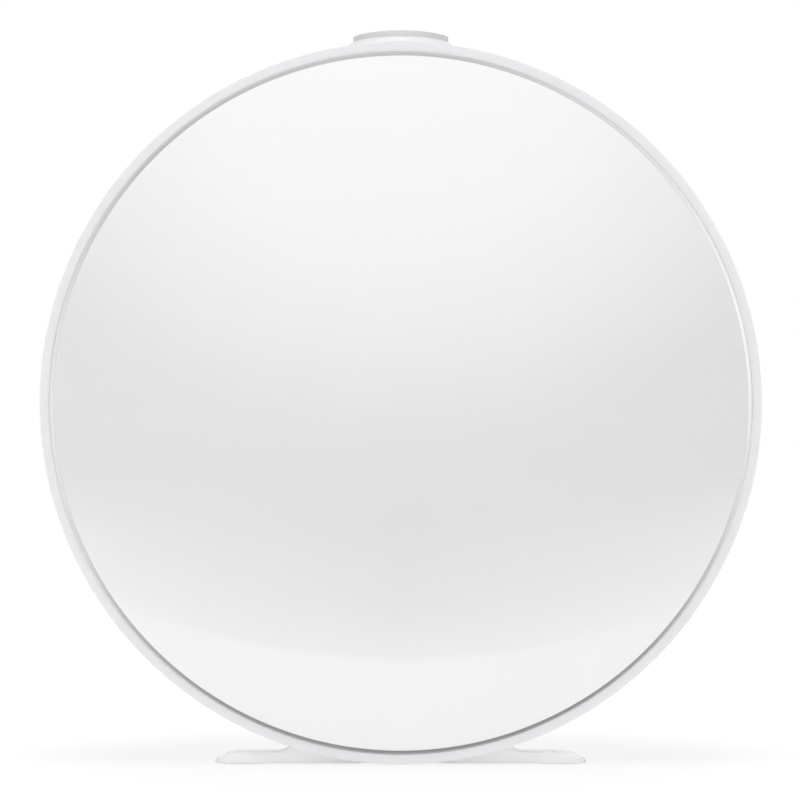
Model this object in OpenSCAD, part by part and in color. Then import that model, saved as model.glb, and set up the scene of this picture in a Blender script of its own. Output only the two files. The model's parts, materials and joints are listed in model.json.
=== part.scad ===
// Table-top smart speaker: an upright disc with a domed light front, one press button on top,
// a rear-firing loudspeaker behind a round grille, and a low T-shaped foot.
// Millimetres. X to the right, Y to the rear, Z up. The origin is on the table, under the middle.
// "Depth" is measured from the flat front face of the bezel: positive to the rear.

/* [Disc] */
// Outer radius of the bezel
rim_r = 120; // [115:0.5:125]
// Height of the lowest point of the bezel above the table
rim_gap = 0.5; // [0.4:0.1:1]
// Width of the flat front face of the bezel
bezel_w = 3; // [2.5:0.1:4]
// Width of the bevelled metal ring between bezel and dome
trim_w = 1.5; // [1:0.1:2]
// How far the top of the dome stands in front of the bezel
dome_rise = 31; // [26:0.5:34]
// Wall of the opal dome
dome_wall = 2.5; // [2:0.1:3]

/* [Housing] */
// Depth of the flat back of the housing
housing_depth = 54; // [53:0.5:58]
// Radius of the rounded rear edge
corner_r = 34; // [32:0.5:36]
// Wall of the moulded housing
wall = 2.5; // [2.2:0.1:2.8]
// Depth of the parting line between bezel and housing
part_d = 6; // [5.8:0.1:6.4]

/* [Button] */
// Radius of the press button
cap_r = 16; // [15:0.1:16.5]
// Depth of the button's axis
button_d = 18; // [17.5:0.5:19]
// Height of the collar above the top of the bezel
collar_h = 2.1; // [1.9:0.1:2.6]
// Height of the button above the collar
cap_proud = 1.95; // [1.5:0.05:2.2]
// Travel of the button
press_travel = 0.6; // [0.4:0.05:0.6]

/* [Foot] */
// Half the width of the foot's front bar
bar_half = 62; // [58:0.5:66]
// Depth of the middle of the bar
bar_d = 10; // [9.5:0.1:10.5]
// Half the depth of the bar
bar_half_d = 5; // [4.6:0.1:5.2]
// Rear end of the foot
foot_back = 64; // [62:0.5:68]
// How far the pads stand below the foot
pad_h = 0.3; // [0.2:0.05:0.5]

/* [Loudspeaker] */
// Radius of the perforated rear grille
grille_r = 49.5; // [47:0.5:50]
// Rings of holes in the grille
grille_rings = 10; // [6:1:10]
// Distance from one ring of holes to the next
grille_pitch = 4.2; // [3.8:0.1:4.4]
// Radius of a grille hole
grille_hole_r = 1.3; // [0.8:0.1:1.4]

/* [Hidden] */
$fn = 96;

// the front face stands so far forward that the origin is under the middle of the whole object
face_y = (dome_rise - foot_back) / 2;
disc_z = rim_r + rim_gap;
fit = 0.1;                      // gap between pieces that are seated in each other
part_gap = 0.1;                 // open parting line behind the bezel

trim_r = rim_r - bezel_w;       // outer radius of the metal ring
dome_r = trim_r - trim_w;       // rim radius of the dome
dome_edge = -trim_w;            // depth of the dome's rim: the ring's bevel is at 45 degrees
sagitta = dome_rise - trim_w;
sphere_r = (dome_r * dome_r + sagitta * sagitta) / (2 * sagitta);
sphere_d = sphere_r - dome_rise;
seat_d = 3.2;                   // depth of the ledge that carries the dome and the ring
seat_t = 2.4;
seat_r = 110;
chassis_d = seat_d + seat_t;
chassis_t = 2;
chassis_back = chassis_d + chassis_t;

drum_r = rim_r - 0.8;           // the housing is a little smaller than the bezel
drum_front = part_d + part_gap;
corner_d = housing_depth - corner_r;
back_in = housing_depth - wall; // inner face of the back

bezel_screw_r = 113;            // circle of the six screws that hold the bezel
bezel_screw_at = [0 : 60 : 300];
led_screw_r = 96;
led_screw_at = [15 : 60 : 345];
post_ring_r = 78;               // circle of the four housing screws
quarters = [45 : 90 : 315];
post_floor = 12;                // depth at which housing boss and chassis post meet

// loudspeaker, all depths along its own axis, which is the disc's
opening_r = 37.5;
grille_t = 1;
cloth_t = 0.5;                  // acoustic cloth under the whole grille
cloth_d = housing_depth - 0.15 - grille_t - cloth_t;
ring_d = back_in - 3.5;
ring_r = 64;
flange_r = 44;
flange_t = 2;
gasket_t = 0.5;
flange_d = ring_d - gasket_t - flange_t;
driver_screw_r = 41.8;
pole_r = 8;
gap_r = 9.25;
yoke_d = 10.5;
yoke_t = 4;
magnet_t = 8;
plate_t = 4;
magnet_d = yoke_d + yoke_t;
plate_d = magnet_d + magnet_t;
basket_d = plate_d + plate_t;
coil_r = pole_r + 0.35;
cone_r = 31;
cone_neck_d = 34;
cone_edge_d = 44.5;
cone_t = 0.7;
spider_d = 31;
chamber_r = 62;

// light: depths of the stack behind the dome
film_d = -3.3;
film_t = 0.5;
film_r = 101.5;
tray_d = 2;
tray_t = 1.2;
led_board_d = 3.25;
pcb = 1.6;                      // thickness of every circuit board

// press button, heights above the disc's centre
rim_top = rim_r + collar_h;
cap_top = rim_top + cap_proud;
cap_bottom = rim_r + press_travel + 0.15;
bore_floor = cap_bottom - press_travel - 0.2;
collar_r = cap_r + 0.45;        // radius of the collar's rim
stem_r = 4;
guide_bottom = 116;
flange_top = guide_bottom - 0.3;
plunger_flange_r = 7;
plunger_flange_t = 1.4;
switch_z = 106;                 // top of the switch board
switch_h = 3.5;
nub_top = switch_z + 5;
board_post_x = 12;              // the two posts that carry the switch board
mic_x = 32;
mic_top = 109;

// main board, from the disc's centre
board_d = 12;
solder_d = board_d + pcb + 0.05;
board_screw_x = [-40, 40];
board_screw_z = [-101, -72];

// port bay, from the disc's centre
bay_half = 28;
bay_top = -71;
bay_bottom = -97;
bay_wall = 1.6;
bay_floor_d = 42;
port_board_top = -89;
dc_x = 12;
dc_z = -83.5;
usb_x = -12;
usb_z = -87.3;

// mute slider, on the flat back above the grille
mute_z = 70;
mute_travel = 2.5;

// foot, heights above the table
tier_a = 2.3;
tier_b = 3.85;
tier_b_half = 58.7;
plateau = 4.15;
plateau_half = 55;
bar_back = bar_d + bar_half_d;
shoulder_half = 41.2;           // where the bar starts to rise towards the drum
shoulder_fillet = 7;
shoulder_front = 6.5;
tongue_half = 34;
tongue_corner = 18;
neck_fillet = 13.5;
neck_top = 15.5;
foot_screw_x = 20;
foot_screw_d = 28;
pad_in = 0.5;

// ---- placing ----

// a solid of revolution about the disc's axis: the profile is drawn as (radius, depth)
module turned() {
    translate([0, face_y, disc_z]) rotate([-90, 0, 0]) rotate_extrude() children();
}

// a flat outline seen from the front, from depth d1 to depth d2
module plate(d1, d2) {
    translate([0, face_y + d2, disc_z]) rotate([90, 0, 0]) linear_extrude(d2 - d1) children();
}

// a round bar along the depth, at x, z from the disc's centre
module bar(x, z, d1, d2, r) {
    translate([x, face_y + d1, disc_z + z]) rotate([-90, 0, 0]) cylinder(h = d2 - d1, r = r);
}

// the same bars at several angles of one circle
module bars(angles, ring, d1, d2, r) {
    for (a = angles) bar(ring * cos(a), ring * sin(a), d1, d2, r);
}

// a block by its limits from the disc's centre
module block(x1, x2, d1, d2, z1, z2) {
    translate([x1, face_y + d1, disc_z + z1]) cube([x2 - x1, d2 - d1, z2 - z1]);
}

// what stands on the button's axis, with heights from the disc's centre
module upright(x = 0, d = button_d) {
    translate([x, face_y + d, disc_z]) children();
}

module tube(h, r_out, r_in) {
    difference() {
        cylinder(h = h, r = r_out);
        translate([0, 0, -1]) cylinder(h = h + 2, r = r_in);
    }
}

module around(count, r, phase = 0) {
    for (i = [0 : count - 1]) rotate(phase + i * 360 / count) translate([r, 0]) children();
}

module stadium(half_length, r) {
    square([2 * (half_length - r), 2 * r], center = true);
    for (s = [-1, 1]) translate([s * (half_length - r), 0]) circle(r);
}

// ---- disc ----

// section of the drum-shaped housing, grown or shrunk evenly
module drum_section(grow, front) {
    corner = corner_r + grow;
    translate([0, front]) square([drum_r + grow, corner_d - front]);
    translate([0, front]) square([drum_r - corner_r, housing_depth + grow - front]);
    translate([drum_r - corner_r, corner_d]) intersection() {
        circle(corner);
        square(corner + 1);
    }
}

module front_dome() {
    edge = 0.5;
    color([0.97, 0.97, 0.97]) turned() {
        difference() {
            intersection() {
                difference() {
                    translate([0, sphere_d]) circle(sphere_r);
                    translate([0, sphere_d]) circle(sphere_r - dome_wall);
                }
                translate([0, -dome_rise - 1]) square([dome_r, dome_rise + 3]);
            }
            // broken edge at the rim
            polygon([[dome_r - 2 * edge, dome_edge - 2 * edge], [dome_r + edge, dome_edge + 2.5 * edge],
                     [dome_r + edge, dome_edge - 2 * edge]]);
        }
        translate([dome_r - dome_wall - 0.5, 0]) square([dome_wall + 0.5, seat_d]);
    }
}

module trim_ring() {
    inner = dome_r + fit;
    bevel = trim_r - inner;
    color([0.72, 0.72, 0.73]) turned()
        polygon([[inner, dome_edge], [trim_r, dome_edge + bevel], [trim_r, seat_d], [inner, seat_d]]);
}

module bezel_ring() {
    inner = trim_r + fit;
    edge = 0.6;
    color([0.9, 0.9, 0.91]) difference() {
        turned() {
            translate([inner, 0]) square([rim_r - edge - inner, part_d]);
            translate([inner, edge]) square([rim_r - inner, part_d - edge]);
            translate([rim_r - edge, edge]) circle(edge);
            translate([seat_r, seat_d]) square([rim_r - 1 - seat_r, seat_t]);
        }
        bars(bezel_screw_at, bezel_screw_r, seat_d + 0.6, chassis_d + 1, 0.85);
    }
}

// raised seat of the button: its rim follows the round of the disc, its flare runs out on the housing
module collar_boss() {
    flare_r = collar_r + 1.1;
    flare_top = rim_top - 2.1;
    sweep = 14;
    skirt = 8;
    difference() {
        upright() rotate_extrude() difference() {
            polygon([[0, 100], [flare_r + skirt, 100], [flare_r + skirt, flare_top - skirt * tan(60)],
                     [flare_r, flare_top], [collar_r + 0.35, rim_top - 1.1], [collar_r, rim_top - 0.3],
                     [collar_r, rim_top + 1], [0, rim_top + 1]]);
            translate([flare_r + sweep * cos(15), flare_top + sweep * sin(15)]) circle(sweep);
        }
        turned() drum_section(-wall, -10);
        turned() translate([0, -10]) square([rim_r + fit, 10 + drum_front]);
        turned() translate([rim_top, -10]) square([10, 60]);
    }
}

// outline of the port bay, seen from the front
module bay_outline(grow) {
    r = 4 + grow;
    translate([0, (bay_top + bay_bottom) / 2])
        for (sx = [-1, 1], sz = [-1, 1])
            translate([sx * (bay_half - 4), sz * ((bay_top - bay_bottom) / 2 - 4)]) circle(r);
    translate([-bay_half + 4, bay_bottom - grow])
        square([2 * bay_half - 8, bay_top - bay_bottom + 2 * grow]);
    translate([-bay_half - grow, bay_bottom + 4])
        square([2 * (bay_half + grow), bay_top - bay_bottom - 8]);
}

module rear_housing() {
    color([0.9, 0.9, 0.91]) difference() {
        union() {
            turned() difference() {
                drum_section(0, drum_front);
                drum_section(-wall, drum_front - 1);
            }
            // ring that carries the loudspeaker and its chamber
            turned() translate([opening_r, ring_d])
                square([ring_r - opening_r, housing_depth - 1 - ring_d]);
            collar_boss();
            // guide of the plunger and posts of the switch board
            upright() translate([0, 0, guide_bottom]) cylinder(h = 3, r = 7.5);
            for (s = [-1, 1]) upright(s * board_post_x)
                translate([0, 0, switch_z]) cylinder(h = 11.5, r = 2.4);
            bars(quarters, post_ring_r, post_floor, back_in + 1, 5);
            // bosses for the two screws that hold the foot
            for (s = [-1, 1]) upright(s * foot_screw_x, foot_screw_d)
                translate([0, 0, 3 + wall - disc_z]) cylinder(h = 11, r = 4.5);
        }
        turned() translate([0, ring_d - 1]) square([opening_r, 20]);
        turned() translate([0, cloth_d]) square([grille_r + 0.2, 5]);
        // bore of the button, open down to the bezel in front of the parting line, and of its stem
        upright() translate([0, 0, bore_floor]) cylinder(h = 20, r = cap_r + fit);
        intersection() {
            upright() translate([0, 0, rim_r - 5]) cylinder(h = 20, r = cap_r + fit);
            block(-cap_r - 1, cap_r + 1, 0, drum_front, rim_r - 5, rim_r + 10);
        }
        upright() translate([0, 0, 100]) cylinder(h = 30, r = stem_r + fit);
        for (s = [-1, 1]) upright(s * board_post_x)
            translate([0, 0, switch_z - 1]) cylinder(h = 8, r = 0.95);
        bars(quarters, post_ring_r, post_floor + 4, housing_depth + 5, 3.4);
        bars(quarters, post_ring_r, post_floor - 1, post_floor + 5, 1.7);
        bars(quarters, driver_screw_r, ring_d - 1, ring_d + 3.5, 1.25);
        for (s = [-1, 1]) upright(s * foot_screw_x, foot_screw_d)
            translate([0, 0, -disc_z]) cylinder(h = 14.5, r = 1.55);
        plate(bay_floor_d - 4, housing_depth + 5) bay_outline(fit);
        // slot and finger recess of the mute slider
        plate(back_in - 1, housing_depth + 1) translate([0, mute_z]) stadium(4.6, 1.9);
        plate(housing_depth - 1, housing_depth + 1) translate([0, mute_z]) stadium(9, 4.5);
        // microphone holes
        for (s = [-1, 1]) upright(s * mic_x) translate([0, 0, mic_top - 4]) cylinder(h = 20, r = 0.6);
    }
}

module chassis() {
    color([0.3, 0.3, 0.32]) difference() {
        union() {
            plate(chassis_d, chassis_back) circle(drum_r - wall - 0.3);
            // stiffening ribs between the chamber and the rim
            for (a = [0 : 30 : 330]) plate(chassis_back - 0.5, chassis_back + 2) rotate(a)
                translate([82, 0]) square([28, 1.6], center = true);
            bars(quarters, post_ring_r, chassis_back - 1, post_floor - fit, 4.5);
            bars(led_screw_at, led_screw_r, led_board_d + pcb + 0.05, chassis_d + 1, 3);
            for (x = board_screw_x, z = board_screw_z) bar(x, z, chassis_back - 1, board_d - fit, 3);
        }
        bars(quarters, post_ring_r, chassis_d + 0.8, post_floor + 1, 1.45);
        bars(led_screw_at, led_screw_r, chassis_d - 2, chassis_back + 1, 1.05);
        bars(bezel_screw_at, bezel_screw_r, chassis_d - 1, chassis_back + 1, 1.05);
        for (x = board_screw_x, z = board_screw_z) bar(x, z, chassis_d + 0.8, board_d + 1, 1.05);
        // passages for the wiring
        for (x = [-70, 70]) plate(chassis_d - 1, chassis_back + 1) translate([x, -70]) stadium(8, 4);
    }
}

// ---- light ----

module light_diffuser() {
    color([0.98, 0.98, 0.98, 0.8]) plate(film_d, film_d + film_t) circle(film_r);
}

module led_places() {
    around(24, 88) children();
    around(16, 60) children();
    around(8, 30) children();
}

module reflector_tray() {
    rim = 1.5;
    color([0.98, 0.98, 0.98]) difference() {
        union() {
            plate(tray_d, tray_d + tray_t) circle(108);
            plate(film_d + film_t + 0.05, tray_d + 0.1) difference() {
                circle(film_r);
                circle(film_r - rim);
            }
        }
        plate(tray_d - 1, tray_d + 2) led_places() circle(2.6);
        bars(led_screw_at, led_screw_r, 0, 5, 1.25);
    }
}

module led_board() {
    color([0.1, 0.35, 0.2]) difference() {
        plate(led_board_d, led_board_d + pcb) circle(104);
        bars(led_screw_at, led_screw_r, 2, 6, 1.25);
    }
}

module leds() {
    color([0.98, 0.95, 0.7]) plate(led_board_d - 1.05, led_board_d - 0.05) led_places()
        square(3, center = true);
}

module led_screws() {
    color([0.6, 0.6, 0.62]) {
        bars(led_screw_at, led_screw_r, tray_d - 1.3, tray_d - 0.05, 2.2);
        bars(led_screw_at, led_screw_r, tray_d - 0.1, chassis_d + 1.8, 1);
    }
}

module bezel_screws() {
    color([0.6, 0.6, 0.62]) {
        bars(bezel_screw_at, bezel_screw_r, chassis_back + 0.05, chassis_back + 1.3, 2);
        bars(bezel_screw_at, bezel_screw_r, seat_d + 0.8, chassis_back + 0.1, 0.8);
    }
}

// ---- loudspeaker ----

// concentric rings of round holes, six more in each ring than in the last
module rear_grille() {
    color([0.86, 0.86, 0.87]) plate(housing_depth - 0.05 - grille_t, housing_depth - 0.05) difference() {
        circle(grille_r);
        circle(grille_hole_r);
        for (k = [1 : grille_rings]) around(6 * k, grille_pitch * k) circle(grille_hole_r);
    }
}

module grille_cloth() {
    color([0.12, 0.12, 0.12]) plate(cloth_d + 0.05, cloth_d + 0.05 + cloth_t) circle(grille_r);
}

module acoustic_chamber() {
    floor_d = chassis_back + 0.6;
    color([0.16, 0.16, 0.17]) turned() {
        translate([0, floor_d]) square([chamber_r, 1.8]);
        translate([chamber_r - 2, floor_d]) square([2, ring_d - fit - floor_d]);
        translate([chamber_r - 4, ring_d - fit - 2]) square([4, 2]);
    }
}

module driver_basket() {
    foot_t = 1.5;
    inner = cone_r + 5.2;
    color([0.22, 0.22, 0.23]) difference() {
        turned() {
            translate([inner, flange_d]) square([flange_r - inner, flange_t]);
            // landing of the spider
            translate([21.5, basket_d]) square([3.5, spider_d - basket_d - 0.05]);
            polygon([[23.2, basket_d], [25, basket_d], [40, flange_d + 0.5], [38.2, flange_d + 0.5]]);
            translate([12, basket_d]) square([13, foot_t]);
        }
        // six windows in the conical wall
        for (a = [0 : 60 : 300]) translate([0, face_y, disc_z]) rotate([0, a, 0])
            translate([15, spider_d + 1, -7]) cube([30, flange_d - spider_d - 3.5, 14]);
        bars(quarters, driver_screw_r, flange_d - 1, ring_d, 1.6);
    }
}

module driver_gasket() {
    color([0.1, 0.1, 0.1]) difference() {
        turned() translate([opening_r, flange_d + flange_t])
            square([flange_r - opening_r, gasket_t]);
        bars(quarters, driver_screw_r, flange_d, ring_d + 1, 1.6);
    }
}

module driver_screws() {
    color([0.6, 0.6, 0.62]) {
        bars(quarters, driver_screw_r, flange_d - 1.8, flange_d - 0.05, 2.15);
        bars(quarters, driver_screw_r, flange_d - 0.1, ring_d + 3, 1.2);
    }
}

module magnet() {
    color([0.2, 0.2, 0.21]) turned() translate([11, magnet_d]) square([12, magnet_t]);
}

module yoke() {
    color([0.65, 0.65, 0.67]) turned() {
        translate([0, yoke_d]) square([21, yoke_t]);
        translate([0, yoke_d]) square([pole_r, basket_d - yoke_d]);
    }
}

module top_plate() {
    color([0.65, 0.65, 0.67]) turned() translate([gap_r, plate_d]) square([21 - gap_r, plate_t]);
}

module voice_coil() {
    middle = plate_d + plate_t / 2;
    color([0.72, 0.45, 0.2]) turned() {
        translate([coil_r, middle - 4.5]) square([0.2, cone_neck_d - middle + 5.2]);
        translate([coil_r, middle - 3.5]) square([0.55, 7]);
    }
}

module cone() {
    inner = coil_r + 0.25;
    color([0.14, 0.14, 0.15]) turned() polygon([
        [inner, cone_neck_d - 1], [inner + cone_t, cone_neck_d - 1], [inner + cone_t, cone_neck_d],
        [cone_r - 0.6, cone_edge_d - cone_t], [cone_r, cone_edge_d - cone_t],
        [cone_r, cone_edge_d], [cone_r - 1.2, cone_edge_d], [inner, cone_neck_d + cone_t]]);
}

module dust_cap() {
    cap_half = 11;
    rise = 3.5;
    ball = (cap_half * cap_half + rise * rise) / (2 * rise);
    base_d = cone_neck_d + 1.85;
    color([0.1, 0.1, 0.1]) turned() intersection() {
        difference() {
            translate([0, base_d + rise - ball]) circle(ball);
            translate([0, base_d + rise - ball]) circle(ball - 0.5);
        }
        translate([0, base_d]) square([cap_half, 2 * rise]);
    }
}

module surround() {
    mid = cone_r + 2.55;
    roll = 2.5;
    color([0.06, 0.06, 0.06]) turned() {
        intersection() {
            difference() {
                translate([mid, cone_edge_d + 0.1]) circle(roll);
                translate([mid, cone_edge_d + 0.1]) circle(roll - 0.6);
            }
            translate([0, cone_edge_d + 0.1]) square([60, roll + 1]);
        }
        translate([cone_r - 2, cone_edge_d + 0.05]) square([2.5, 0.5]);
        translate([mid + roll - 0.6, cone_edge_d + 0.1]) square([1.4, flange_d - cone_edge_d - 0.15]);
    }
}

module spider() {
    color([0.75, 0.6, 0.3]) turned() {
        for (k = [0 : 3]) translate([10.35 + 3 * k, spider_d + 0.25]) intersection() {
            difference() {
                circle(1.75);
                circle(1.25);
            }
            translate([-2, k % 2 == 0 ? 0 : -2]) square([4, 2]);
        }
        translate([20.6, spider_d]) square([4.2, 0.5]);
    }
}

// ---- electronics ----

module main_board() {
    color([0.1, 0.35, 0.2]) difference() {
        block(-46, 46, board_d, board_d + pcb, -105, -68);
        for (x = board_screw_x, z = board_screw_z) bar(x, z, board_d - 1, board_d + 3, 1.2);
    }
}

module shield_can() {
    t = 0.3;
    top_d = solder_d + 3.35;
    color([0.7, 0.7, 0.72]) difference() {
        block(-30, -2, solder_d, top_d, -104, -78);
        block(-30 + t, -2 - t, solder_d - 1, top_d - t, -104 + t, -78 - t);
    }
}

module board_chips() {
    color([0.1, 0.1, 0.1]) {
        block(-22, -10, solder_d, solder_d + 1.25, -97, -85);
        block(8, 18, solder_d, solder_d + 1.35, -88, -78);
        block(22, 30, solder_d, solder_d + 1.35, -88, -80);
        block(4, 16, solder_d, solder_d + 2.35, -103, -95);
        block(-36, -33, solder_d, solder_d + 0.95, -96, -90);
    }
}

module capacitors() {
    color([0.2, 0.25, 0.45]) for (x = [24, 32]) bar(x, -99, solder_d, solder_d + 9.35, 3.15);
}

module board_screws() {
    color([0.6, 0.6, 0.62]) for (x = board_screw_x, z = board_screw_z) {
        bar(x, z, solder_d, solder_d + 1.35, 2);
        bar(x, z, chassis_d + 1.4, solder_d + 0.05, 1);
    }
}

module antenna() {
    color([0.15, 0.15, 0.15]) for (s = [-1, 1]) block(s * 50 - 13, s * 50 + 13,
        chassis_back + 0.05, chassis_back + 1, 84, 94);
}

module port_bay() {
    color([0.9, 0.9, 0.91]) difference() {
        union() {
            intersection() {
                plate(bay_floor_d - bay_wall, housing_depth + 1) bay_outline(0);
                turned() drum_section(0, drum_front);
            }
            // rails under the port board
            for (x = [-24, 20]) block(x, x + 4, 25, bay_floor_d - 1,
                port_board_top - pcb - 2.6, port_board_top - pcb - 0.02);
        }
        plate(bay_floor_d, housing_depth + 2) bay_outline(-bay_wall);
        bar(dc_x, dc_z, 30, 50, 4.1);
        plate(30, 50) translate([usb_x, usb_z]) stadium(4.65, 1.75);
        bar(0, dc_z, 30, 50, 0.6);
    }
}

module port_board() {
    color([0.1, 0.35, 0.2]) block(-24, 24, 24, bay_floor_d - bay_wall - 0.2,
        port_board_top - pcb, port_board_top);
}

module dc_jack() {
    half = 4.5;
    color([0.08, 0.08, 0.08]) difference() {
        union() {
            block(dc_x - half, dc_x + half, 28, bay_floor_d - bay_wall - 0.1,
                port_board_top + 0.02, dc_z + half);
            bar(dc_x, dc_z, 30, bay_floor_d, 4);
        }
        bar(dc_x, dc_z, 32, 50, 2.8);
        bar(dc_x, dc_z, 29, 33, 1.02);
    }
}

module dc_pin() {
    color([0.8, 0.7, 0.4]) {
        bar(dc_x, dc_z, 29.5, bay_floor_d - 1.5, 1);
        translate([dc_x, face_y + bay_floor_d - 1.5, disc_z + dc_z]) sphere(1);
    }
}

module usb_port() {
    color([0.7, 0.7, 0.72]) plate(34.5, bay_floor_d) translate([usb_x, usb_z]) difference() {
        stadium(4.45, 1.6);
        stadium(4.15, 1.3);
    }
}

module usb_tongue() {
    color([0.05, 0.05, 0.05]) {
        plate(34.5, 36) translate([usb_x, usb_z]) stadium(4.1, 1.25);
        block(usb_x - 3.3, usb_x + 3.3, 35.5, bay_floor_d - 0.6, usb_z - 0.35, usb_z + 0.35);
    }
}

module mute_switch() {
    color([0.7, 0.7, 0.72]) difference() {
        block(-6.5, 6.5, back_in - 4.6, back_in - 0.1, mute_z - 3, mute_z + 3);
        block(-3.5, 3.5, back_in - 2.5, back_in + 1, mute_z - 1.1, mute_z + 1.1);
    }
}

module mute_slider() {
    half = 1.8;
    x = -mute_travel / 2;
    top_d = housing_depth - 0.1;
    color([0.35, 0.35, 0.36]) difference() {
        union() {
            block(x - half, x + half, back_in + 0.3, top_d, mute_z - 1.5, mute_z + 1.5);
            block(x - half, x + half, back_in - 1.8, back_in + 0.4, mute_z - 0.75, mute_z + 0.75);
        }
        // grip grooves
        for (g = [-1.2, 0, 1.2])
            block(x + g - 0.2, x + g + 0.2, top_d - 0.3, top_d + 1, mute_z - 2, mute_z + 2);
    }
}

// ---- button ----

// round cap whose top follows the round of the disc
module button_cap() {
    color([0.84, 0.83, 0.83]) difference() {
        upright() translate([0, 0, cap_bottom]) cylinder(h = cap_top + 1 - cap_bottom, r = cap_r);
        turned($fn = 360) translate([cap_top, 0]) square([10, 2 * button_d]);
    }
}

module button_plunger() {
    flange_bottom = flange_top - plunger_flange_t;
    color([0.85, 0.85, 0.86]) upright() {
        translate([0, 0, flange_bottom]) cylinder(h = cap_bottom - flange_bottom, r = stem_r);
        translate([0, 0, flange_bottom]) cylinder(h = plunger_flange_t, r = plunger_flange_r);
        translate([0, 0, nub_top]) cylinder(h = flange_bottom - nub_top + 1, r = 2.2);
    }
}

// coil spring: a round wire swept along a helix
function helix(t, r, z0, rise, turns) = [r * cos(360 * turns * t), r * sin(360 * turns * t), z0 + rise * t];

module button_spring() {
    wire = 0.3;
    sides = 8;
    steps = 96;
    turns = 5;
    r = 5.4;
    z0 = switch_z + wire + 0.02;
    rise = flange_top - plunger_flange_t - switch_z - 2 * wire - 0.04;
    points = [for (i = [0 : steps])
        let (p = helix(i / steps, r, z0, rise, turns), a = 360 * turns * i / steps)
        for (k = [0 : sides - 1]) let (b = 360 * k / sides)
            [p[0] + wire * cos(b) * cos(a), p[1] + wire * cos(b) * sin(a), p[2] + wire * sin(b)]];
    skin = [for (i = [0 : steps - 1], k = [0 : sides - 1]) let (n = (k + 1) % sides)
        [i * sides + k, i * sides + n, (i + 1) * sides + n, (i + 1) * sides + k]];
    ends = [[for (k = [sides - 1 : -1 : 0]) k], [for (k = [0 : sides - 1]) steps * sides + k]];
    color([0.7, 0.7, 0.72]) upright() polyhedron(points, concat(skin, ends), convexity = 10);
}

module switch_board() {
    color([0.1, 0.35, 0.2]) difference() {
        block(-16, 16, button_d - 8, button_d + 8, switch_z - pcb, switch_z);
        for (s = [-1, 1]) upright(s * board_post_x) translate([0, 0, 100]) cylinder(h = 10, r = 1.1);
    }
}

module tact_switch() {
    color([0.15, 0.15, 0.15]) difference() {
        block(-3, 3, button_d - 3, button_d + 3, switch_z + 0.02, switch_z + switch_h);
        upright() translate([0, 0, switch_z + 1]) cylinder(h = 5, r = 1.85);
    }
}

module switch_nub() {
    color([0.6, 0.1, 0.1]) upright() translate([0, 0, switch_z + 1.9])
        cylinder(h = nub_top - switch_z - 1.9, r = 1.75);
}

module switch_screws() {
    color([0.6, 0.6, 0.62]) for (s = [-1, 1]) upright(s * board_post_x) {
        translate([0, 0, switch_z - pcb - 1.3]) cylinder(h = 1.25, r = 1.9);
        translate([0, 0, switch_z - pcb - 0.1]) cylinder(h = 7, r = 0.9);
    }
}

module mic_boards() {
    color([0.1, 0.35, 0.2]) for (s = [-1, 1])
        block(s * mic_x - 5, s * mic_x + 5, button_d - 4, button_d + 4, mic_top - 1, mic_top);
}

module mic_seals() {
    color([0.15, 0.15, 0.15]) for (s = [-1, 1]) upright(s * mic_x)
        translate([0, 0, mic_top + 0.02]) tube(2.3, 2.4, 0.8);
}

// ---- fasteners and foot ----

module housing_screws() {
    head_top = post_floor + 6.2;
    color([0.6, 0.6, 0.62]) difference() {
        union() {
            bars(quarters, post_ring_r, post_floor + 4.05, head_top, 3);
            bars(quarters, post_ring_r, chassis_d + 1, post_floor + 4.1, 1.4);
        }
        // cross recesses
        for (a = quarters, t = [0, 90])
            translate([post_ring_r * cos(a), face_y + head_top, disc_z + post_ring_r * sin(a)])
                rotate([0, t, 0]) cube([3.4, 2, 0.7], center = true);
    }
}

// outline with a flat bottom and rounded upper corners
module low_step(half, top, r) {
    translate([-half, pad_h]) square([2 * half, top - r - pad_h]);
    translate([-half + r, pad_h]) square([2 * (half - r), top - pad_h]);
    for (s = [-1, 1]) translate([s * (half - r), top - r]) circle(r);
}

// outline seen from the front that rises from the plateau to a neck, with a fillet at each side
module rise_outline(half, fillet, top) {
    difference() {
        translate([-half, pad_h]) square([2 * half, top - pad_h]);
        for (s = [-1, 1]) translate([s * half, plateau + fillet]) circle(fillet);
    }
}

// front bar: two rounded steps at each end and a low plateau between them, full-round from above
module foot_bar() {
    intersection() {
        translate([0, face_y + bar_back, 0]) rotate([90, 0, 0]) linear_extrude(2 * bar_half_d) {
            low_step(bar_half, tier_a, 1.9);
            low_step(tier_b_half, tier_b, 1.8);
            low_step(plateau_half, plateau, 0.25);
        }
        translate([0, face_y + bar_d, 0]) linear_extrude(10) stadium(bar_half, bar_half_d);
        translate([0, face_y + bar_d, 0]) rotate([90, 0, 90]) linear_extrude(2 * bar_half, center = true)
            low_step(bar_half_d, plateau, 0.6);
    }
}

// shoulder: lifts the middle of the bar up to the drum and runs into the tongue with two fillets
module foot_shoulder() {
    web = shoulder_half - tongue_half;
    intersection() {
        translate([0, face_y + bar_back + web, 0]) rotate([90, 0, 0])
            linear_extrude(bar_back + web - shoulder_front)
                rise_outline(shoulder_half, shoulder_fillet, plateau + shoulder_fillet);
        translate([0, face_y, 0]) linear_extrude(20) difference() {
            translate([-shoulder_half, shoulder_front])
                square([2 * shoulder_half, bar_back + web - shoulder_front]);
            for (s = [-1, 1]) translate([s * shoulder_half, bar_back + web]) circle(web);
        }
    }
}

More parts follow.
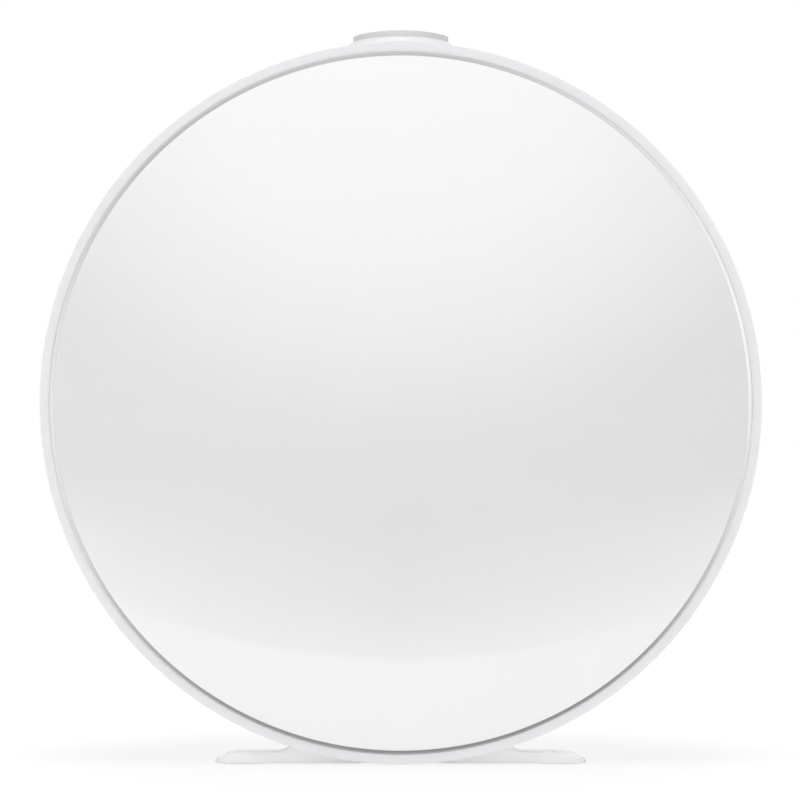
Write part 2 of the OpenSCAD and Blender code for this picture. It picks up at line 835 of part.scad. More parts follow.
// tongue behind the bar: one outline from the side, one from the front, one from above
module foot_tongue() {
    round_x = tongue_half - tongue_corner;
    round_d = foot_back - tongue_corner;
    intersection() {
        translate([0, face_y, 0]) rotate([90, 0, 90]) linear_extrude(2 * tongue_half, center = true)
            difference() {
                translate([bar_d, pad_h]) square([foot_back - bar_d, neck_top - pad_h]);
                translate([foot_back, plateau + neck_fillet]) circle(neck_fillet);
            }
        translate([0, face_y + foot_back, 0]) rotate([90, 0, 0]) linear_extrude(foot_back - bar_d)
            rise_outline(tongue_half, neck_fillet, neck_top);
        translate([0, face_y, 0]) linear_extrude(20) {
            translate([-tongue_half, bar_d]) square([2 * tongue_half, round_d - bar_d]);
            translate([-round_x, bar_d]) square([2 * round_x, foot_back - bar_d]);
            for (s = [-1, 1]) translate([s * round_x, round_d]) circle(tongue_corner);
        }
    }
}

module pad_places(grow) {
    for (s = [-1, 1]) {
        translate([s * 52.5, face_y + bar_d]) stadium(7.5 + grow, 3.6 + grow);
        translate([s * 17, face_y + foot_back - 6]) stadium(8 + grow, 3.6 + grow);
    }
}

module foot() {
    notch_half = 14;
    color([0.9, 0.9, 0.91]) difference() {
        union() {
            foot_bar();
            foot_shoulder();
            foot_tongue();
        }
        // seat of the drum, and room for the bezel in front of it
        turned() {
            translate([0, -10]) square([rim_r + 0.15, 10 + drum_front]);
            drum_section(0.1, part_d);
        }
        translate([-notch_half, face_y, -1]) cube([2 * notch_half, 8, 10]);
        translate([0, 0, pad_h - 1]) linear_extrude(1 + pad_in) pad_places(0.05);
        // pocket of the ballast
        translate([-27, face_y + 34, -1]) cube([54, 18, 1 + 3]);
        for (s = [-1, 1]) translate([s * foot_screw_x, face_y + foot_screw_d, 0]) {
            translate([0, 0, -1]) cylinder(h = 3, r = 3.2);
            cylinder(h = 12, r = 1.6);
        }
    }
}

module foot_ballast() {
    color([0.5, 0.5, 0.52]) translate([-26.9, face_y + 34.1, pad_h + 0.1]) cube([53.8, 17.8, 2.55]);
}

module foot_pads() {
    color([0.75, 0.75, 0.75]) linear_extrude(pad_h + pad_in - 0.02) pad_places(0);
}

module foot_screws() {
    color([0.6, 0.6, 0.62]) for (s = [-1, 1]) translate([s * foot_screw_x, face_y + foot_screw_d, 0]) {
        translate([0, 0, 0.6]) cylinder(h = 1.35, r = 3);
        translate([0, 0, 1]) cylinder(h = 13, r = 1.45);
    }
}

front_dome();
trim_ring();
bezel_ring();
rear_housing();
chassis();
light_diffuser();
reflector_tray();
led_board();
leds();
led_screws();
bezel_screws();
rear_grille();
grille_cloth();
acoustic_chamber();
driver_basket();
driver_gasket();
driver_screws();
magnet();
yoke();
top_plate();
voice_coil();
cone();
dust_cap();
surround();
spider();
main_board();
shield_can();
board_chips();
capacitors();
board_screws();
antenna();
port_bay();
port_board();
dc_jack();
dc_pin();
usb_port();
usb_tongue();
mute_switch();
mute_slider();
button_cap();
button_plunger();
button_spring();
switch_board();
tact_switch();
switch_nub();
switch_screws();
mic_boards();
mic_seals();
housing_screws();
foot();
foot_ballast();
foot_pads();
foot_screws();
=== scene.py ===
"""The looks of the table-top smart speaker: finer shells, materials, light and camera.

Lengths are in metres, z is up and the front faces -y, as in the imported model.
"""
import json
import math

import bmesh
import bpy
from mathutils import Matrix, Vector


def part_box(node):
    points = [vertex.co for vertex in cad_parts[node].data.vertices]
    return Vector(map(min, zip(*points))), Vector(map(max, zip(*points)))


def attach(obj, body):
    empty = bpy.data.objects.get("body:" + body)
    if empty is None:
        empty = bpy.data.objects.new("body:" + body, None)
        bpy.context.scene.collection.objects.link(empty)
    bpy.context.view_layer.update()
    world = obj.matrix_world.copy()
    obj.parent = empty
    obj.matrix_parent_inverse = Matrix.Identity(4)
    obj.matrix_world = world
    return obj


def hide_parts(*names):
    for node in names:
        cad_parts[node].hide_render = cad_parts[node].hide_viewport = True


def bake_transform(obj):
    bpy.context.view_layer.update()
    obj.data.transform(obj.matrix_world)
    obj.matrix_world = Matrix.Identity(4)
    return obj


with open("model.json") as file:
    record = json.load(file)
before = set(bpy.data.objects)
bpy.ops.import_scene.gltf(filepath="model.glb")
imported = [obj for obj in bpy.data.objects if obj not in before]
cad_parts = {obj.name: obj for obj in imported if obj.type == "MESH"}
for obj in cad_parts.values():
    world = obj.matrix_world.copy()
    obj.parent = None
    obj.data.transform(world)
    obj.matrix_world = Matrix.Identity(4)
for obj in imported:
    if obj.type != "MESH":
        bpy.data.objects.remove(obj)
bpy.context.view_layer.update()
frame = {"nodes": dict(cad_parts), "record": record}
nodes = frame["nodes"]

# ---- sizes read from the frame, in metres ----

MM = 0.001
bezel_low, bezel_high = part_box("bezel_ring")
dome_low, dome_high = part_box("front_dome")
trim_low, trim_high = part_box("trim_ring")
FACE_Y = bezel_low.y                                  # front face of the bezel
DISC_Z = (bezel_low.z + bezel_high.z) / 2             # axis of the disc
RIM_R = (bezel_high.z - bezel_low.z) / 2
TRIM_R = (trim_high.z - trim_low.z) / 2
DOME_R = (dome_high.z - dome_low.z) / 2
DOME_RISE = FACE_Y - dome_low.y
RIM_RISE = FACE_Y - trim_low.y                        # dome's rim and ring stand out so far
BEZEL_DEPTH = bezel_high.y - FACE_Y
SEAT_DEPTH = dome_high.y - FACE_Y
SEAM = 0.02 * MM                                      # hairline between dome, ring and bezel
RING_SINK = 0.05 * MM                                 # the bevel ends so far below the bezel's face
RING_OUTER = TRIM_R - 0.05 * MM                       # a little inside the solid's
RING_INNER = RING_OUTER - RIM_RISE - RING_SINK        # the bevel is at 45 degrees
RIM_GAP = 0.15 * MM                                   # between the foot and the bezel above it

# ---- camera: square to the disc ----

CAMERA_DISTANCE = 1.35
VIEW_WIDTH = 0.26581                                  # what the picture spans at the bezel
CAMERA_X = -0.25 * MM
CAMERA_RISE = 1.0 * MM                                # above the axis of the disc
SENSOR = 36.0


def make_camera():
    data = bpy.data.cameras.new("camera")
    data.sensor_width = SENSOR
    data.lens = SENSOR * CAMERA_DISTANCE / VIEW_WIDTH
    camera = bpy.data.objects.new("camera", data)
    camera.location = (CAMERA_X, FACE_Y - CAMERA_DISTANCE, DISC_Z + CAMERA_RISE)
    camera.rotation_euler = (math.radians(90), 0, 0)
    bpy.context.scene.collection.objects.link(camera)
    bpy.context.scene.camera = camera


# ---- shader helpers; an outlet is a pair (node, name or number of its output) ----

RAMP_TOP = 4.0                                        # a ColorRamp's white stands for this brightness


def new_material(name):
    material = bpy.data.materials.new(name)
    material.use_nodes = True
    tree = material.node_tree
    tree.nodes.clear()
    return material, tree


def feed(tree, node, inputs):
    """Sets the node's inputs to plain values, or links them to outlets."""
    for socket, value in inputs.items():
        if isinstance(value, tuple) and isinstance(value[0], bpy.types.Node):
            tree.links.new(value[0].outputs[value[1]], node.inputs[socket])
        else:
            node.inputs[socket].default_value = value


def add_node(tree, kind, inputs):
    node = tree.nodes.new("ShaderNode" + kind)
    feed(tree, node, inputs)
    return node


def math_outlet(tree, operation, a, b=None, clamp=False):
    node = tree.nodes.new("ShaderNodeMath")
    node.operation = operation
    node.use_clamp = clamp
    feed(tree, node, {0: a} if b is None else {0: a, 1: b})
    return node, 0


def vector_outlet(tree, operation, a, b=None):
    """The number that comes out of a VectorMath node."""
    node = tree.nodes.new("ShaderNodeVectorMath")
    node.operation = operation
    feed(tree, node, {0: a} if b is None else {0: a, 1: b})
    return node, "Value"


def range_outlet(tree, source, start, end, smooth=False):
    """A source mapped to run between two (input, output) pairs."""
    node = tree.nodes.new("ShaderNodeMapRange")
    if smooth:
        node.interpolation_type = "SMOOTHSTEP"
    feed(tree, node, {"Value": source, "From Min": start[0], "To Min": start[1],
                      "From Max": end[0], "To Max": end[1]})
    return node, "Result"


def mix_outlet(tree, factor, a, b):
    return add_node(tree, "Mix", {"Factor": factor, "A": a, "B": b}), "Result"


def ramp_outlet(tree, source, stops):
    """A brightness that follows (place, brightness) stops over a source, up to RAMP_TOP."""
    ramp = add_node(tree, "ValToRGB", {"Fac": source})
    elements = ramp.color_ramp.elements
    while len(elements) > 1:
        elements.remove(elements[-1])
    for i, (place, value) in enumerate(stops):
        element = elements[0] if i == 0 else elements.new(place)
        element.position = place
        grey = value / RAMP_TOP
        element.color = (grey, grey, grey, 1)
    return math_outlet(tree, "MULTIPLY", (ramp, "Color"), RAMP_TOP)


# ---- materials ----

CLOUD_SCALE = 14.0                                    # slow unevenness of colour and roughness
ROUGHNESS_RANGE = 0.07
GRAIN_HEIGHT = 0.05 * MM


def plastic(name, colour, roughness=0.45, grain=0.0, grain_scale=900.0, variation=0.02, specular=0.5,
            metallic=0.0):
    """A surface with slight unevenness of colour and roughness, and an optional fine moulded grain."""
    material, tree = new_material(name)
    place = add_node(tree, "TexCoord", {}), "Object"
    cloud = add_node(tree, "TexNoise", {"Vector": place, "Scale": CLOUD_SCALE, "Detail": 3.0}), "Fac"
    tint = tree.nodes.new("ShaderNodeMix")
    tint.data_type = "RGBA"
    feed(tree, tint, {"Factor": cloud,
                      "A": (*[c * (1 - variation) for c in colour], 1),
                      "B": (*[min(1, c * (1 + variation)) for c in colour], 1)})
    rough = range_outlet(tree, cloud, (0, roughness * (1 - ROUGHNESS_RANGE)),
                         (1, roughness * (1 + ROUGHNESS_RANGE)))
    shader = add_node(tree, "BsdfPrincipled", {"Base Color": (tint, "Result"), "Roughness": rough,
                                               "Specular IOR Level": specular, "Metallic": metallic})
    if grain > 0:
        fine = add_node(tree, "TexNoise", {"Vector": place, "Scale": grain_scale, "Detail": 2.0})
        bump = add_node(tree, "Bump", {"Height": (fine, "Fac"), "Strength": grain,
                                       "Distance": GRAIN_HEIGHT})
        feed(tree, shader, {"Normal": (bump, "Normal")})
    add_node(tree, "OutputMaterial", {"Surface": (shader, "BSDF")})
    return material


LOOKS = {
    "opal_dome": dict(colour=(0.78, 0.78, 0.78), roughness=0.04, variation=0.003, specular=1.0),
    "satin_metal": dict(colour=(0.80, 0.80, 0.81), roughness=0.2, metallic=1.0),
    "white_shell": dict(colour=(0.81, 0.815, 0.83), roughness=0.45, grain=0.25),
    "white_inner": dict(colour=(0.86, 0.86, 0.86), roughness=0.6),
    "diffuser_film": dict(colour=(0.9, 0.9, 0.9), roughness=0.7),
    "dark_plastic": dict(colour=(0.08, 0.08, 0.085), roughness=0.5, grain=0.3),
    "grey_button": dict(colour=(0.685, 0.672, 0.675), roughness=0.5, grain=0.2),
    "circuit_board": dict(colour=(0.03, 0.16, 0.07), roughness=0.35),
    "led_chip": dict(colour=(0.9, 0.85, 0.5), roughness=0.4),
    "chip_black": dict(colour=(0.03, 0.03, 0.03), roughness=0.45, grain=0.2),
    "capacitor_can": dict(colour=(0.1, 0.12, 0.3), roughness=0.35),
    "screw_steel": dict(colour=(0.55, 0.55, 0.56), roughness=0.3, metallic=1.0),
    "bright_metal": dict(colour=(0.75, 0.75, 0.76), roughness=0.2, metallic=1.0),
    "grille_steel": dict(colour=(0.80, 0.805, 0.82), roughness=0.4, grain=0.3, grain_scale=1500.0),
    "black_steel": dict(colour=(0.04, 0.04, 0.04), roughness=0.4),
    "magnet_ferrite": dict(colour=(0.07, 0.07, 0.07), roughness=0.6, grain=0.3),
    "coil_wire": dict(colour=(0.6, 0.3, 0.12), roughness=0.3, metallic=1.0),
    "cone_paper": dict(colour=(0.03, 0.03, 0.03), roughness=0.8, grain=0.6),
    "spider_cloth": dict(colour=(0.6, 0.42, 0.14), roughness=0.9, grain=0.6),
    "black_cloth": dict(colour=(0.02, 0.02, 0.02), roughness=0.95, grain=0.8, grain_scale=2500.0),
    "black_rubber": dict(colour=(0.03, 0.03, 0.03), roughness=0.7, grain=0.3),
    "pad_silicone": dict(colour=(0.92, 0.92, 0.92), roughness=0.6),
    "contact_gold": dict(colour=(0.75, 0.6, 0.3), roughness=0.25, metallic=1.0),
    "white_painted_metal": dict(colour=(0.90, 0.90, 0.90), roughness=0.22, grain=0.1),
}
MATERIALS = {name: plastic(name, **look) for name, look in LOOKS.items()}


def dress_nodes():
    """Gives every CAD node the material that the record names for it."""
    for row in frame["record"]["subparts"]:
        mesh = nodes[row["node"]].data
        mesh.materials.clear()
        mesh.materials.append(MATERIALS[row["material_slot"]])


# ---- finer shells, turned about the disc's axis ----

TURN_STEPS = 360
ON_AXIS = 1e-7                                        # a smaller radius makes a pole
SHELL_SHARP = 32                                      # degrees; flatter edges are shaded smooth
PIECE_SHARP = 40                                      # the same for the small pieces


def arc(centre, radius, start, end, steps):
    """Points (r, depth) of an arc; angles in degrees from the outward radius towards the rear."""
    return [(centre[0] + radius * math.cos(math.radians(start + (end - start) * i / steps)),
             centre[1] + radius * math.sin(math.radians(start + (end - start) * i / steps)))
            for i in range(steps + 1)]


def mesh_piece(name, mesh, sharp_angle):
    """An object of a finished bmesh, smooth but for the edges sharper than the angle in degrees."""
    bmesh.ops.recalc_face_normals(mesh, faces=mesh.faces)
    data = bpy.data.meshes.new(name)
    mesh.to_mesh(data)
    mesh.free()
    data.shade_smooth()
    data.set_sharp_from_angle(angle=math.radians(sharp_angle))
    piece = bpy.data.objects.new(name, data)
    bpy.context.scene.collection.objects.link(piece)
    return piece


def skin_rows(mesh, rows):
    """Closes a run of equal loops of vertices into a solid."""
    for a, b in zip(rows, rows[1:]):
        for k in range(len(a)):
            n = (k + 1) % len(a)
            mesh.faces.new((a[k], a[n], b[n], b[k]))
    mesh.faces.new(rows[0])
    mesh.faces.new(rows[-1])


def turned(name, profile):
    """A closed profile of (radius, depth) points, turned about the disc's axis."""
    mesh = bmesh.new()
    rings = []
    for r, depth in profile:
        if r < ON_AXIS:
            rings.append([mesh.verts.new((0, FACE_Y + depth, DISC_Z))])
        else:
            rings.append([mesh.verts.new((r * math.sin(2 * math.pi * k / TURN_STEPS), FACE_Y + depth,
                                          DISC_Z + r * math.cos(2 * math.pi * k / TURN_STEPS)))
                          for k in range(TURN_STEPS)])
    for a, b in zip(rings, rings[1:] + rings[:1]):
        if len(a) == 1 and len(b) == 1:
            continue
        for k in range(TURN_STEPS):
            n = (k + 1) % TURN_STEPS
            if len(a) == 1:
                mesh.faces.new((a[0], b[n], b[k]))
            elif len(b) == 1:
                mesh.faces.new((a[k], a[n], b[0]))
            else:
                mesh.faces.new((a[k], a[n], b[n], b[k]))
    return mesh_piece(name, mesh, SHELL_SHARP)


def dress(piece, slot):
    piece.data.materials.clear()
    piece.data.materials.append(MATERIALS[slot])


def finish_shell(piece, node, slot):
    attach(piece, "housing")
    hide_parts(node)
    dress(piece, slot)


def make_dome():
    """A sphere's cap with a straight rim, whose edge is a small fillet that touches both."""
    wall = 2.5 * MM
    edge = 0.08 * MM
    rim = RING_INNER - SEAM
    sagitta = DOME_RISE - RIM_RISE
    ball = (DOME_R ** 2 + sagitta ** 2) / (2 * sagitta)
    centre = (0.0, ball - DOME_RISE)
    fillet_r = rim - edge
    fillet_d = centre[1] - math.sqrt((ball - edge) ** 2 - fillet_r ** 2)
    lean = math.degrees(math.atan2(fillet_d - centre[1], fillet_r))   # where sphere and fillet meet
    profile = arc(centre, ball, -90, lean, steps=72)
    profile += arc((fillet_r, fillet_d), edge, lean, 0, steps=8)[1:]
    profile.append((rim, SEAT_DEPTH))
    profile.append((rim - wall, SEAT_DEPTH))
    inner_end = math.degrees(math.acos((rim - wall) / (ball - wall)))
    profile += arc(centre, ball - wall, -inner_end, -90, steps=48)
    finish_shell(turned("dome_shell", profile), "front_dome", "opal_dome")


def make_trim_ring():
    """A ring with a flat bevel down to the bezel, and a hairline chamfer beside the dome."""
    chamfer = 0.04 * MM
    across = 0.3 * chamfer
    profile = [(RING_INNER, -RIM_RISE + chamfer), (RING_INNER + across, -RIM_RISE + across),
               (RING_INNER + chamfer, -RIM_RISE + chamfer), (RING_OUTER, RING_SINK),
               (RING_OUTER, SEAT_DEPTH), (RING_INNER, SEAT_DEPTH)]
    finish_shell(turned("trim_bevel", profile), "trim_ring", "satin_metal")


def bezel_seat_radius():
    """Inner radius of the bezel's ledge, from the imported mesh."""
    return min(math.hypot(v.co.x, v.co.z - DISC_Z) for v in nodes["bezel_ring"].data.vertices)


def make_bezel():
    """A flat ring with a skirt behind it and a ledge inside that carries dome and ring."""
    inner = RING_OUTER + SEAM
    seat_r = bezel_seat_radius()
    outer_edge = 0.12 * MM
    inner_edge = 0.03 * MM
    skirt = 1 * MM
    ledge_d = SEAT_DEPTH + 2.4 * MM
    profile = [(inner, SEAT_DEPTH)]
    profile += arc((inner + inner_edge, inner_edge), inner_edge, 180, 270, steps=3)
    profile += [(inner + 2 * inner_edge, 0), (RIM_R - 1.2 * outer_edge, 0)]     # keep the face flat
    profile += arc((RIM_R - outer_edge, outer_edge), outer_edge, 270, 360, steps=10)
    profile += [(RIM_R, BEZEL_DEPTH), (RIM_R - skirt, BEZEL_DEPTH), (RIM_R - skirt, ledge_d),
                (seat_r, ledge_d), (seat_r, SEAT_DEPTH)]
    finish_shell(turned("bezel_shell", profile), "bezel_ring", "white_shell")


# ---- foot: the front edge of its bar, crisper than the solid's ----

PLATEAU = 4.15 * MM                                   # height of the bar's top
PLATEAU_HALF = 54.8 * MM
SHOULDER_HALF = 41.2 * MM                             # where the bar starts to rise towards the disc
SHOULDER_FILLET = 7 * MM
EDGE_LOW = 3.5 * MM                                   # below it the solid's own front shows
EDGE_ROUND = 0.15 * MM
EDGE_DEPTH = 1.7 * MM
EDGE_PROUD = 0.04 * MM                                # how far its faces stand off the solid's
EDGE_STEPS = 90


def foot_outline(x):
    """Height of the foot at x: plateau, then a fillet upwards, then the underside of the bezel."""
    inside = min(max(SHOULDER_HALF - x, 0), SHOULDER_FILLET)
    rise = SHOULDER_FILLET - math.sqrt(SHOULDER_FILLET ** 2 - inside ** 2)
    under_bezel = DISC_Z - math.sqrt((RIM_R + RIM_GAP) ** 2 - x ** 2)
    return min(PLATEAU + rise, under_bezel)


def make_foot_edge(name, side):
    """Cross-sections along the bar, from where it comes out under the bezel to its end."""
    least = 0.05 * MM                                 # height of the first section
    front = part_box("foot")[0].y - EDGE_PROUD
    start = math.sqrt((RIM_R + RIM_GAP) ** 2 - (DISC_Z - EDGE_LOW - least) ** 2)
    mesh = bmesh.new()
    rows = []
    for i in range(EDGE_STEPS + 1):
        x = start + (PLATEAU_HALF - start) * i / EDGE_STEPS
        top = foot_outline(x) + EDGE_PROUD
        r = min(EDGE_ROUND, top - EDGE_LOW)
        section = [(front, EDGE_LOW)]
        section += [(front + r - r * math.cos(turn), top - r + r * math.sin(turn))
                    for turn in (0, math.pi / 6, math.pi / 3, math.pi / 2)]
        section += [(front + EDGE_DEPTH, top), (front + EDGE_DEPTH, EDGE_LOW)]
        rows.append([mesh.verts.new((side * x, y, z)) for y, z in section])
    skin_rows(mesh, rows)
    piece = mesh_piece(name, mesh, PIECE_SHARP)
    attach(piece, "housing")
    dress(piece, "white_painted_metal")


# ---- springs inside: the button's spring and the diaphragm's surround and spider ----

SECTORS = 12
SECTOR_STEPS = 12
SPIDER_FOLDS = 4


def finish_spring(piece, node, slot):
    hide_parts(node)
    dress(piece, slot)
    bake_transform(piece)


def make_button_spring():
    """A copy of the solid, in its place."""
    solid = nodes["button_spring"]
    piece = bpy.data.objects.new("coil_spring", solid.data.copy())
    piece.matrix_world = solid.matrix_world
    bpy.context.scene.collection.objects.link(piece)
    finish_spring(piece, "button_spring", "bright_metal")


def flexing_ring(name, node, slot, profile):
    """Sectors of a ring round the loudspeaker's axis, each swept from the profile of (radius, y)
    points.
    """
    low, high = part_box(node)
    axis = Vector(((low.x + high.x) / 2, low.y, (low.z + high.z) / 2))
    half = math.pi / SECTORS
    for k in range(SECTORS):
        mesh = bmesh.new()
        rows = []
        for i in range(SECTOR_STEPS + 1):
            turn = 2 * half * (k + i / SECTOR_STEPS)
            rows.append([mesh.verts.new((axis.x + r * math.sin(turn), y, axis.z + r * math.cos(turn)))
                         for r, y in profile])
        skin_rows(mesh, rows)
        piece = mesh_piece(f"{name}_{k + 1}", mesh, PIECE_SHARP)
        # a sector's corners are nearer along its middle line than their radius
        finish_spring(piece, node, slot)


def make_surround():
    """Half a roll of rubber, with a flange on the cone and a skirt on the basket."""
    low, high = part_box("surround")
    roll, wall = 2.5 * MM, 0.6 * MM
    flange, flange_width = 0.5 * MM, 2.05 * MM
    skirt, skirt_width = 0.85 * MM, 0.8 * MM
    slant = 0.15 * MM                                 # from the flange's back to the roll's inside
    step = 0.05 * MM                                  # from the flange's back to the roll's base
    outer = (high.x - low.x) / 2
    middle = outer - skirt_width - roll
    base = high.y - roll
    skirt_angle = math.degrees(math.asin(skirt / roll))
    flange_angle = math.degrees(math.asin((flange - step) / roll))
    profile = [(middle - roll - flange_width, low.y), (middle - roll + wall - slant, low.y)]
    profile += arc((middle, base), roll - wall, 180, 0, steps=14)
    profile += [(outer, base), (outer, base + skirt)]
    profile += arc((middle, base), roll, skirt_angle, 180 - flange_angle, steps=12)
    profile.append((middle - roll - flange_width, low.y + flange))
    flexing_ring("surround_roll", "surround", "black_rubber", profile)


def make_spider():
    """A corrugated disc of cloth from the coil to the basket."""
    low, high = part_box("spider")
    outer = (high.x - low.x) / 2
    fold, half_wall = 1.5 * MM, 0.25 * MM
    level = (low.y + high.y) / 2
    first = outer - 14.45 * MM                        # middle of the innermost fold
    slack = 0.05 * MM
    front, back = [], []
    for k in range(SPIDER_FOLDS):
        centre = (first + 2 * fold * k, level)
        end, outside = (0, half_wall) if k % 2 == 0 else (360, -half_wall)
        front += arc(centre, fold + outside, 180, end, steps=10)
        back += arc(centre, fold - outside, 180, end, steps=10)
    root = front[-1][0]                               # from here outwards the cloth lies flat
    profile = front + [(root, level + half_wall), (outer, level + half_wall),
                       (outer, level - half_wall)]
    # the back meets the flat part one thickness farther out, and ends just before it
    profile += [point for point in reversed(back) if point[0] < root + 2 * half_wall - slack]
    flexing_ring("spider_fold", "spider", "spider_cloth", profile)


# ---- stage: table, backdrop and light ----

AMBIENT = 0.31                                        # light of the studio's walls on matt surfaces
TABLE_COLOUR = 0.85
TABLE_GLOW = 0.35                                     # light that the table itself gives back to them
FLOOR_SIZE = 6.0
# the camera sees a white backdrop, and the table with the object's shadow, turning plain white
BACKDROP = 1.0
SEEN_COLOUR = 0.2
SEEN_GLOW = [(0.1, 0.78), (0.3, 1.0)]                 # distance from the middle, brightness

# glossy surfaces see ahead: brightness by the closeness to a big light high in front
SKY_TILT = math.radians(35)                           # how far that light leans forward
FRONT_SKY = [(0.3, 0.45), (0.4, 0.37), (0.5, 0.49), (0.7, 1.20), (0.9, 1.82)]
AHEAD_FROM, AHEAD_FULL = -0.15, -0.5                  # y of a direction that looks ahead
# ... to the sides and behind: brightness by the sine of the height
RIGHT_SKY = [(0.0, 1.15), (0.26, 1.22), (0.5, 1.10), (0.7, 0.95), (0.87, 0.85), (1.0, 0.65)]
LEFT_SKY = [(0.0, 1.04), (0.26, 0.96), (0.5, 0.77), (0.7, 0.64), (1.0, 0.67)]
SIDE_TURN = 0.3                                       # x of a direction that looks to one side only
# ... below: a painted reflection of the table, whose lit strip reaches so far ahead of the dome's
# front and back under it
STRIP = 1.92
STRIP_AHEAD = 0.022
STRIP_BACK = 0.0282
# ... and the rest of the table, by distance; a distance d has its place at d / (d + HALFWAY)
HALFWAY = 0.2
AHEAD_TABLE = [(0.11, 1.26), (0.25, 0.62), (0.5, 0.20), (0.75, 0.36), (1.0, 0.59)]
CORNER_TABLE = [(0.11, 1.66), (0.25, 1.28), (0.5, 0.49), (0.75, 0.34), (1.0, 0.58)]
CORNER_PLACE = 0.6                                    # place to the side where CORNER_TABLE holds
# to the sides: the object's painted shadow on the table, darkest near the middle and lighter farther
# out
RIGHT_SHADOWED_TABLE = [(0.0, 0.33), (0.14, 0.30), (0.26, 0.245), (0.38, 0.285), (0.51, 0.50), (0.69, 0.80),
               (1.0, 1.15)]
LEFT_SHADOWED_TABLE = [(0.0, 0.33), (0.14, 0.33), (0.26, 0.30), (0.38, 0.39), (0.51, 0.59), (0.69, 0.81),
              (1.0, 1.03)]


def glowing(tree, grey, strength):
    """A matt grey surface that also gives light."""
    matt = add_node(tree, "BsdfDiffuse", {"Color": (grey, grey, grey, 1)})
    glow = add_node(tree, "Emission", {"Strength": strength})
    return add_node(tree, "AddShader", {0: (matt, 0), 1: (glow, 0)})


def two_ramps(tree, factor, source, stops_a, stops_b):
    """A mix of two ramps over the same source."""
    return mix_outlet(tree, factor, ramp_outlet(tree, source, stops_a),
                      ramp_outlet(tree, source, stops_b))


def ramp_place(tree, distance):
    """The place that a distance has on the ramps of the table."""
    return math_outlet(tree, "DIVIDE", distance, math_outlet(tree, "ADD", distance, HALFWAY))


def by_ray(tree, kind, usual, seen, mirrored):
    """Ends a tree with one shader for the camera, one for reflections, and the usual for the rest."""
    path = add_node(tree, "LightPath", {})
    shown = add_node(tree, "MixShader", {0: (path, "Is Camera Ray"), 1: (usual, 0), 2: (seen, 0)})
    pick = add_node(tree, "MixShader", {0: (path, "Is Glossy Ray"), 1: (shown, 0), 2: (mirrored, 0)})
    add_node(tree, kind, {"Surface": (pick, 0)})


def make_floor():
    bpy.ops.mesh.primitive_plane_add(size=FLOOR_SIZE, location=(0, 0, 0))
    floor = bpy.context.object
    floor.name = "floor"
    material, tree = new_material("floor_white")
    place = add_node(tree, "TexCoord", {}), "Object"
    split = add_node(tree, "SeparateXYZ", {"Vector": place})
    across = split, "X"

    # what lights matt surfaces, and what the camera sees
    usual = glowing(tree, TABLE_COLOUR, TABLE_GLOW)
    away = vector_outlet(tree, "LENGTH", place)
    seen = glowing(tree, SEEN_COLOUR, range_outlet(tree, away, *SEEN_GLOW))

    # what glossy surfaces see, a painted reflection of the lit table with the object's painted shadow
    # beside and under it: ahead is the distance from the dome's front
    ahead = math_outlet(tree, "SUBTRACT", dome_low.y, (split, "Y"))
    ahead_place = ramp_place(tree, math_outlet(tree, "MAXIMUM", ahead, 0.0))
    beside_place = ramp_place(tree, math_outlet(tree, "ABSOLUTE", across))
    to_corner = math_outlet(tree, "DIVIDE", beside_place, CORNER_PLACE, clamp=True)
    front = two_ramps(tree, to_corner, ahead_place, AHEAD_TABLE, CORNER_TABLE)
    front = mix_outlet(tree, math_outlet(tree, "LESS_THAN", ahead, STRIP_AHEAD), front, STRIP)
    on_right = math_outlet(tree, "GREATER_THAN", across, 0.0)
    # the object's painted shadow on the table beside and under it, as reflections see it
    side = two_ramps(tree, on_right, beside_place, LEFT_SHADOWED_TABLE, RIGHT_SHADOWED_TABLE)
    table = mix_outlet(tree, math_outlet(tree, "GREATER_THAN", ahead, -STRIP_BACK), side, front)
    mirrored = add_node(tree, "Emission", {"Strength": table})

    by_ray(tree, "OutputMaterial", usual, seen, mirrored)
    floor.data.materials.append(material)


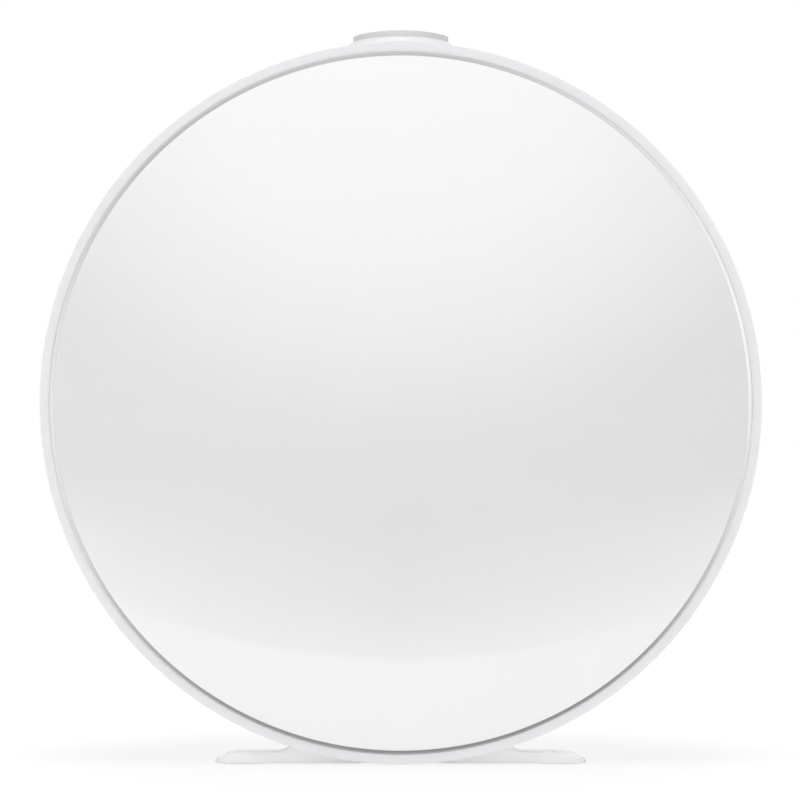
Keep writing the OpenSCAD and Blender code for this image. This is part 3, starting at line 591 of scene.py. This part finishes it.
def make_world():
    world = bpy.data.worlds.new("studio")
    world.use_nodes = True
    tree = world.node_tree
    tree.nodes.clear()
    direction = add_node(tree, "TexCoord", {}), "Generated"
    split = add_node(tree, "SeparateXYZ", {"Vector": direction})

    to_light = (0, -math.sin(SKY_TILT), math.cos(SKY_TILT))
    front = ramp_outlet(tree, vector_outlet(tree, "DOT_PRODUCT", direction, to_light), FRONT_SKY)
    on_right = range_outlet(tree, (split, "X"), (-SIDE_TURN, 0), (SIDE_TURN, 1), smooth=True)
    side = two_ramps(tree, on_right, (split, "Z"), LEFT_SKY, RIGHT_SKY)
    ahead = range_outlet(tree, (split, "Y"), (AHEAD_FROM, 0), (AHEAD_FULL, 1), smooth=True)
    studio = mix_outlet(tree, ahead, side, front)

    usual, seen, mirrored = [
        add_node(tree, "Background", {"Color": (1, 1, 1, 1), "Strength": strength})
        for strength in (AMBIENT, BACKDROP, studio)]
    by_ray(tree, "OutputWorld", usual, seen, mirrored)
    bpy.context.scene.world = world


def soft_box(name, height, side, distance, width, depth, power):
    """A soft lamp at so many degrees above the table and to the side; reflections don't show it."""
    aim = Vector((0, FACE_Y, DISC_Z))
    up, turn = math.radians(height), math.radians(side)
    towards = Vector((math.sin(turn) * math.cos(up), -math.cos(turn) * math.cos(up), math.sin(up)))
    data = bpy.data.lights.new(name, "AREA")
    data.shape = "RECTANGLE"
    data.size = width
    data.size_y = depth
    data.energy = power
    lamp = bpy.data.objects.new(name, data)
    lamp.location = aim + distance * towards
    lamp.rotation_euler = (aim - lamp.location).to_track_quat("-Z", "Y").to_euler()
    lamp.visible_glossy = False
    bpy.context.scene.collection.objects.link(lamp)


def make_lights():
    soft_box("key", height=25, side=0, distance=1.6, width=1.2, depth=0.8, power=1.34)
    soft_box("overhead", height=75, side=0, distance=1.5, width=1.2, depth=1.2, power=14.8)
    soft_box("left", height=20, side=-60, distance=1.6, width=0.8, depth=1.0, power=4.11)
    soft_box("right", height=20, side=60, distance=1.6, width=0.8, depth=1.0, power=3.09)
    soft_box("rear", height=30, side=180, distance=1.6, width=1.2, depth=0.8, power=5.2)


make_camera()
dress_nodes()
make_dome()
make_trim_ring()
make_bezel()
make_foot_edge("foot_edge_left", -1)
make_foot_edge("foot_edge_right", 1)
make_button_spring()
make_surround()
make_spider()
make_floor()
make_world()
make_lights()

bpy.context.scene.view_settings.view_transform = "Standard"
